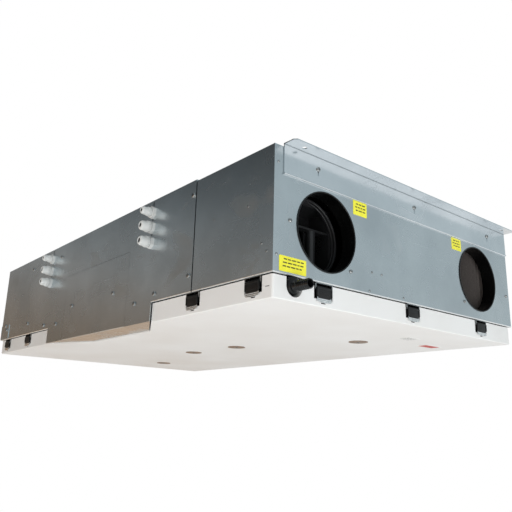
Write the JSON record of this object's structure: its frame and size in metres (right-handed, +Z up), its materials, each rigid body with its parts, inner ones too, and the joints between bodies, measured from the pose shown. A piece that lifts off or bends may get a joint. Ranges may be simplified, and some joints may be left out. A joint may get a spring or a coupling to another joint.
{
  "type": "heat recovery unit",
  "caption": "Flat ceiling-hung heat recovery ventilation unit: steel casing, round duct collars at both ends, hanging rails and a latched, insulated service panel underneath.",
  "frame": {"origin": "centre of the four ceiling bolt holes, on the top face of the bracket flanges", "axes": "+X to the right along the duct end that faces -Y, +Y along the unit, +Z up to the ceiling"},
  "size_m": [0.8628, 1.503, 0.2998],
  "materials": {
    "galvanised_steel": "satin",
    "white_painted_steel": "satin",
    "black_plastic": "satin",
    "collar_plastic": "gloss",
    "grey_plastic": "satin",
    "insulation_foam": "matte",
    "panel_insulation": "matte",
    "exchanger_pack": "satin",
    "filter_media": "matte",
    "gasket_rubber": "matte",
    "zinc_hardware": "polished",
    "circuit_board": "satin",
    "yellow_label": "satin",
    "white_label": "satin",
    "motor_casting": "satin"
  },
  "bodies": {
    "casing": {"front_plate": "galvanised_steel", "rear_plate": "galvanised_steel", "right_side": "galvanised_steel", "left_front_side": "galvanised_steel", "left_cover": "galvanised_steel", "top_sheet": "galvanised_steel", "corner_plate": "galvanised_steel", "ebox_tray": "galvanised_steel", "electrical_cover": "galvanised_steel", "front_bracket": "galvanised_steel", "rear_bracket": "galvanised_steel", "drain_elbow": "black_plastic", "drip_tray": "black_plastic", "core_end_caps": "black_plastic", "supply_fan_housing": "black_plastic", "exhaust_fan_housing": "black_plastic", "terminal_blocks": "black_plastic", "board_components": "black_plastic", "duct_collars": "collar_plastic", "cable_glands": "grey_plastic", "gland_nuts": "grey_plastic", "damper_actuator": "grey_plastic", "foam_liner": "insulation_foam", "heat_exchanger": "exchanger_pack", "gland_seals": "gasket_rubber", "bracket_screws": "zinc_hardware", "side_screws": "zinc_hardware", "rivets": "zinc_hardware", "latch_brackets": "zinc_hardware", "latch_pins": "zinc_hardware", "control_board": "circuit_board", "yellow_labels": "yellow_label", "supply_motor": "motor_casting", "exhaust_motor": "motor_casting"},
    "panel": {"bottom_panel": "white_painted_steel", "panel_foam": "panel_insulation", "panel_gasket": "gasket_rubber", "panel_discs": "zinc_hardware", "disc_screws": "zinc_hardware", "panel_labels": "white_label"},
    "extract_filter": {"extract_filter": "filter_media"},
    "intake_filter": {"intake_filter": "filter_media"},
    "supply_impeller": {"supply_impeller": "black_plastic"},
    "exhaust_impeller": {"exhaust_impeller": "black_plastic"},
    "damper": {"damper_blade": "black_plastic"},
    "latch_front_1": {"latch_front_1": "black_plastic"},
    "latch_rear_1": {"latch_rear_1": "black_plastic"},
    "latch_front_2": {"latch_front_2": "black_plastic"},
    "latch_rear_2": {"latch_rear_2": "black_plastic"},
    "latch_front_3": {"latch_front_3": "black_plastic"},
    "latch_rear_3": {"latch_rear_3": "black_plastic"},
    "latch_left_1": {"latch_left_1": "black_plastic"},
    "latch_right_1": {"latch_right_1": "black_plastic"},
    "latch_left_2": {"latch_left_2": "black_plastic"},
    "latch_right_2": {"latch_right_2": "black_plastic"},
    "latch_left_3": {"latch_left_3": "black_plastic"},
    "latch_right_3": {"latch_right_3": "black_plastic"},
    "latch_left_4": {"latch_left_4": "black_plastic"},
    "latch_right_4": {"latch_right_4": "black_plastic"}
  },
  "joints": [
    {"name": "panel_drop", "type": "slide", "parent": "casing", "child": "panel", "axis": [0, 0, -1], "range_m": [0, 0.42]},
    {"name": "extract_filter_pull", "type": "slide", "parent": "casing", "child": "extract_filter", "axis": [0, 0, -1], "range_m": [0, 0.21]},
    {"name": "intake_filter_pull", "type": "slide", "parent": "casing", "child": "intake_filter", "axis": [0, 0, -1], "range_m": [0, 0.21]},
    {"name": "supply_fan_spin", "type": "hinge", "parent": "casing", "child": "supply_impeller", "pos_m": [-0.2145, -0.4625, -0.15], "axis": [0, 0, 1], "continuous": true},
    {"name": "exhaust_fan_spin", "type": "hinge", "parent": "casing", "child": "exhaust_impeller", "pos_m": [0.1842, 0.4625, -0.15], "axis": [0, 0, 1], "continuous": true},
    {"name": "bypass_damper_turn", "type": "hinge", "parent": "casing", "child": "damper", "pos_m": [0.31925, 0, -0.15], "axis": [0, 0, 1], "range_deg": [0, 90]},
    {"name": "latch_front_1_swing", "type": "hinge", "parent": "casing", "child": "latch_front_1", "pos_m": [-0.2905, -0.7105, -0.2615], "axis": [-1, 0, 0], "range_deg": [0, 90]},
    {"name": "latch_rear_1_swing", "type": "hinge", "parent": "casing", "child": "latch_rear_1", "pos_m": [-0.2905, 0.7105, -0.2615], "axis": [1, 0, 0], "range_deg": [0, 90]},
    {"name": "latch_front_2_swing", "type": "hinge", "parent": "casing", "child": "latch_front_2", "pos_m": [-0.013, -0.7105, -0.2615], "axis": [-1, 0, 0], "range_deg": [0, 90]},
    {"name": "latch_rear_2_swing", "type": "hinge", "parent": "casing", "child": "latch_rear_2", "pos_m": [-0.013, 0.7105, -0.2615], "axis": [1, 0, 0], "range_deg": [0, 90]},
    {"name": "latch_front_3_swing", "type": "hinge", "parent": "casing", "child": "latch_front_3", "pos_m": [0.261, -0.7105, -0.2615], "axis": [-1, 0, 0], "range_deg": [0, 90]},
    {"name": "latch_rear_3_swing", "type": "hinge", "parent": "casing", "child": "latch_rear_3", "pos_m": [0.261, 0.7105, -0.2615], "axis": [1, 0, 0], "range_deg": [0, 90]},
    {"name": "latch_left_1_swing", "type": "hinge", "parent": "casing", "child": "latch_left_1", "pos_m": [-0.4165, -0.659, -0.2615], "axis": [0, 1, 0], "range_deg": [0, 90]},
    {"name": "latch_right_1_swing", "type": "hinge", "parent": "casing", "child": "latch_right_1", "pos_m": [0.3945, -0.659, -0.2615], "axis": [0, -1, 0], "range_deg": [0, 90]},
    {"name": "latch_left_2_swing", "type": "hinge", "parent": "casing", "child": "latch_left_2", "pos_m": [-0.4165, -0.4655, -0.2615], "axis": [0, 1, 0], "range_deg": [0, 90]},
    {"name": "latch_right_2_swing", "type": "hinge", "parent": "casing", "child": "latch_right_2", "pos_m": [0.3945, -0.4655, -0.2615], "axis": [0, -1, 0], "range_deg": [0, 90]},
    {"name": "latch_left_3_swing", "type": "hinge", "parent": "casing", "child": "latch_left_3", "pos_m": [-0.4165, 0.4625, -0.2615], "axis": [0, 1, 0], "range_deg": [0, 90]},
    {"name": "latch_right_3_swing", "type": "hinge", "parent": "casing", "child": "latch_right_3", "pos_m": [0.3945, 0.4625, -0.2615], "axis": [0, -1, 0], "range_deg": [0, 90]},
    {"name": "latch_left_4_swing", "type": "hinge", "parent": "casing", "child": "latch_left_4", "pos_m": [-0.4165, 0.6505, -0.2615], "axis": [0, 1, 0], "range_deg": [0, 90]},
    {"name": "latch_right_4_swing", "type": "hinge", "parent": "casing", "child": "latch_right_4", "pos_m": [0.3945, 0.6505, -0.2615], "axis": [0, -1, 0], "range_deg": [0, 90]}
  ],
  "couplings": [
    {"joint": "extract_filter_pull", "follows": "panel_drop", "ratio": 0.5},
    {"joint": "intake_filter_pull", "follows": "panel_drop", "ratio": 0.5}
  ]
}
